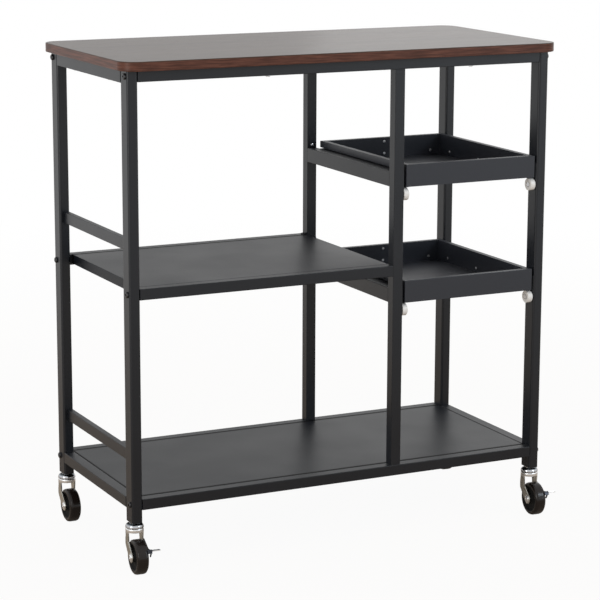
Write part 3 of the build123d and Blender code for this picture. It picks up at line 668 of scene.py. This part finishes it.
def makeFork(name, look, braked):
    leg = forkLeg(look)
    wheelY, wheelZ = look["boss"][:2]
    axleHalf = turned(eased(look["axle"]), smallSteps)
    washer = turned(eased(look["washer"]), washerSteps)
    shapes = [turned(eased(look["crown"], True), roundSteps), leg, mirrored(leg)]
    shapes += [acrossAt(part, wheelY, wheelZ, side) for part in (axleHalf, washer) for side in (1, -1)]
    if braked:
        shapes.append(acrossAt(turned(eased(look["pivot"]), smallSteps), *look["pivotPlace"]))

    # 1 on the boss and the crown, which are painted paler as their reflection, 0 on the legs between them
    def forkPaintedReflection(points):
        boss = 1 - smoothStep(fromAxle(name, points) - look["paintedBoss"])
        low, high = look["paintedCrown"]
        return np.maximum(boss, smoothStep((points[:, 2] / mm - low) / (high - low)))

    makePiece("fork" + pascal(name), [atCaster(name, shape) for shape in shapes], "fork_steel",
              "caster_" + name, ["fork_" + name], forkPaintedReflection)


def pascal(name):
    return "".join(word.capitalize() for word in name.split("_"))


# half of the wheel's section as (radius, distance from its middle, fillet); the other half mirrors it
wheelLook = {
    "place": (-19.0, 30.0),
    "half": [(3.05, 10.7, 0.2), (6.6, 10.7, 0.5), (8.3, 9.4, 0.8), (9.0, 6.4, 0.8), (20.6, 6.2, 1.6),
             (22.4, 9.6, 0.6), (24.6, 10.25, 0.5), (26.6, 10.25, 1.6), (29.3, 8.3, 1.8), (30, 5.2, 1.5)],
    "dishRadius": 23.0,
    "dishBlend": 1.2,
}


def makeWheel(name, look):
    half = look["half"]
    section = half + [(radius, -height, fillet) for radius, height, fillet in reversed(half)]
    wheelY, wheelZ = look["place"]
    shape = atCaster(name, acrossAt(turned(eased(section, True), tyreSteps), wheelY, wheelZ))

    # 1 in the dish and at the hub, 0 on the tyre, by the distance from the axle
    def dish(points):
        return 1 - smoothStep((fromAxle(name, points) - look["dishRadius"]) / look["dishBlend"])

    makePiece("wheel" + pascal(name), [shape], "wheel_rubber", "wheel_" + name, ["wheel_" + name], dish)


# profiles of the cap and of the stem with its kingpin, from the floor up; the flange is a chamfered hexagon
swivelLook = {
    "cap": [(4.05, 81.2, 0.2), (14.15, 81.2, 1.2), (14.15, 77.5, 0.2), (15.75, 77.5, 0.4), (15.75, 79.1, 0.3),
            (15.35, 79.3, 0.05), (15.35, 84.5, 5.0), (4.05, 84.5, 0.2)],
    "stem": [(0, 72.7, 0), (7, 72.7, 0.6), (7, 74.9, 0.3), (4, 74.9, 0.3), (4, 87, 0), (5, 87, 0),
             (5, 107, 0.8), (0, 107, 0)],
    "reflectionFrom": 81.9,                 # height at which the dome's painted dark reflection starts
    "reflectionBlend": 1.2,
    "flangeAcross": 17.0,
    "flangeLow": 84.5,
    "flangeHigh": 87.0,
    "flangeCorner": 9.2,
    "chamfer": 0.6,
}


# a hexagon's reach at each angle is a / cos(angle to the nearest flat); its end rows stay inside a circle
def hexFlange(look):
    angle = np.linspace(0, 2 * np.pi, roundSteps, endpoint=False)
    flat = look["flangeAcross"] / 2 / np.cos((angle + np.pi / 6) % (np.pi / 3) - np.pi / 6)
    cut = np.minimum(flat, look["flangeCorner"] - look["chamfer"])
    low, high, chamfer = look["flangeLow"], look["flangeHigh"], look["chamfer"]
    reach = np.stack([cut, flat, flat, cut])
    height = np.array([low, low + chamfer, high - chamfer, high])[:, None] + 0 * reach
    return loft(np.stack([reach * np.cos(angle), reach * np.sin(angle), height], -1))


# millimetres in the caster's own frame; the discs are the eye, the elbow, the tip and the end of the tail
pedalLook = {
    "inner": 14.3,
    "outer": 15.8,
    "discs": [(-3.0, 50.0, 6.0), (-25.0, 42.0, 3.0), (-44.5, 44.7, 1.8), (-38.5, 34.5, 1.3)],
    "bore": 2.05,
    "edge": 0.35,
    "axle": (-19.0, 30.0),
    "shoeRadius": (30.3, 31.8),
    "shoeAngles": (23.6, 36.4),       # degrees above level, about the axle
    "shoeAcross": (7.8, 15.8),
    "shoeEdge": 0.3,
    "shoeRows": 16,
    "blade": [(-46.8, 45.5, 0.6), (-40.8, 45.5, 0.6), (-40.8, 47, 0.6), (-46.8, 47, 0.6)],
    "bladeAcross": (14.3, 30.8),
    "bladeRound": 2.0,
    "bladeRows": 8,
    "bladePale": 17.0,                # from here out the blade is bare bright steel
}


# a plate round two discs: each ray from the first one's middle goes to their hull, which is the least
# of h(b) / cos(b - a), with h the hull's reach along b; the loops run from the bore out and back
def pedalLink(look, first, second, bore):
    angle = np.linspace(0, 2 * np.pi, outlineSteps, endpoint=False)
    ray = np.stack([np.cos(angle), np.sin(angle)], -1)
    discs = np.array([first, second])
    hull = (ray @ (discs[:, :2] - first[:2]).T + discs[:, 2]).max(1)
    leastCosine = 0.02
    cosine = ray @ ray.T
    reach = np.where(cosine > leastCosine, hull / np.maximum(cosine, leastCosine), np.inf).min(1)
    edge = look["edge"]
    share = np.array([0, 0.5, 1, 1, 1, 1, 0.5, 0])[:, None]
    inset = np.array([0, 0, edge, 0, 0, edge, 0, 0])[:, None]
    side = np.array([0, 0, 0, edge, 1 - edge, 1, 1, 1])[:, None]
    length = bore + share * (reach - bore) - inset
    x = look["inner"] + side * (look["outer"] - look["inner"]) + 0 * length
    return loft(np.stack([x, first[0] + length * ray[:, 0], first[1] + length * ray[:, 1]], -1), True)


# the shoe is bent round the tread: its section, in x and radius, is carried along an arc about the axle
def pedalShoe(look):
    low, high = look["shoeRadius"]
    left, right = look["shoeAcross"]
    edge = look["shoeEdge"]
    section = eased([(left, low, edge), (right, low, edge), (right, high, edge), (left, high, edge)])
    angle = np.radians(np.linspace(*look["shoeAngles"], look["shoeRows"]))[:, None]
    x = section[:, 0] + 0 * angle
    radius = section[:, 1] + 0 * angle
    axleY, axleZ = look["axle"]
    return loft(np.stack([x, axleY - radius * np.cos(angle), axleZ + radius * np.sin(angle)], -1))


# the toe blade: its section, in y and z, is carried along x, and drawn in over the last rows to a round end
def toeBlade(look):
    section = eased(look["blade"])
    centre = section.mean(0)
    start, end = look["bladeAcross"]
    turn = np.linspace(0, np.pi / 2, look["bladeRows"])
    straight = [start, look["outer"], look["bladePale"]]
    x = np.concatenate([straight, end - look["bladeRound"] * (1 - np.sin(turn))])[:, None]
    width = abs(section[:, 0] - centre[0]).max()
    narrow = np.concatenate([[0, 0, 0], look["bladeRound"] * (1 - np.cos(turn))])[:, None] / width
    y = centre[0] + (section[:, 0] - centre[0]) * (1 - narrow)
    return loft(np.stack([x + 0 * y, y, section[:, 1] + 0 * x], -1))


def makePedal(name, look):
    discs = look["discs"]
    links = [pedalLink(look, *pair) for pair in zip(discs, discs[1:], (look["bore"], 0, 0))]
    shapes = [atCaster(name, shape) for shape in links + [pedalShoe(look), toeBlade(look)]]
    across = np.array(joints[name + "_wheel_turn"]["axis"], float)
    stem = np.array(joints[name + "_swivel"]["pos_m"])

    # 1 on the blade, 0 on the arm and the shoe, by the distance across the wheel
    def bladeShare(points):
        outwards = (points - stem) @ across / mm
        return smoothStep((outwards - look["outer"]) / (look["bladePale"] - look["outer"]))

    makePiece("brakePedal" + pascal(name), shapes, "pedal_steel", "brake_" + name,
              ["brake_pedal_" + name], bladeShare)


# 1 on the dome of a cap, where a dark reflection is painted into its colour, 0 below it
def domePaintedReflection(points):
    return smoothStep((points[:, 2] / mm - swivelLook["reflectionFrom"]) / swivelLook["reflectionBlend"])


casters = ("front_left", "rear_left", "front_right", "rear_right")
braked = ("front_left", "front_right")
for caster in casters:
    makeFork(caster, forkLook, caster in braked)
    makeWheel(caster, wheelLook)
for caster in braked:
    makePedal(caster, pedalLook)
cap = turned(eased(swivelLook["cap"], True), roundSteps)
makePiece("swivelCaps", [atCaster(caster, cap) for caster in casters], "caster_chrome", "cart",
          ["swivel_caps"], domePaintedReflection)
stem = [turned(eased(swivelLook["stem"]), smallSteps), hexFlange(swivelLook)]
makePiece("casterStems", [atCaster(caster, shape) for caster in casters for shape in stem],
          "caster_chrome", "cart", ["caster_stems"])
print("casters: forks, wheels, pedals, caps and stems")


# round-headed screws, on the middle shelf's rear rail and on the rear centre post: places in metres
# from the worktop's middle and the floor, profiles in millimetres
screwLook = {
    "shelfKnob": {
        "at": (0.088, 0.167, 0.4895),
        "axis": (0, 0, 1),
        "profile": [(0, 0, 0), (4.3, 0, 0), (4.3, 2.2, 1.2), (0, 3.4, 0)],
        "slot": "bolt_steel",
    },
    "postScrew": {
        "at": (0.1029, 0.160, 0.6583),
        "axis": (0, -1, 0),
        "profile": [(0, 0, 0), (2.9, 0, 0), (2.9, 0.9, 0.6), (0, 1.5, 0)],
        "slot": "plated_steel",
    },
}

for name, look in screwLook.items():
    axis = np.array(look["axis"], float)
    side = np.array([1.0, 0, 0])
    points, faces = turned(eased(look["profile"]), smallSteps)
    place = np.array(look["at"]) + (middle[0], middle[1], 0)
    head = placed((points * mm, faces), place, side, np.cross(axis, side), axis)
    makePiece(name, [head], look["slot"], "cart")
print("screws:", len(screwLook))
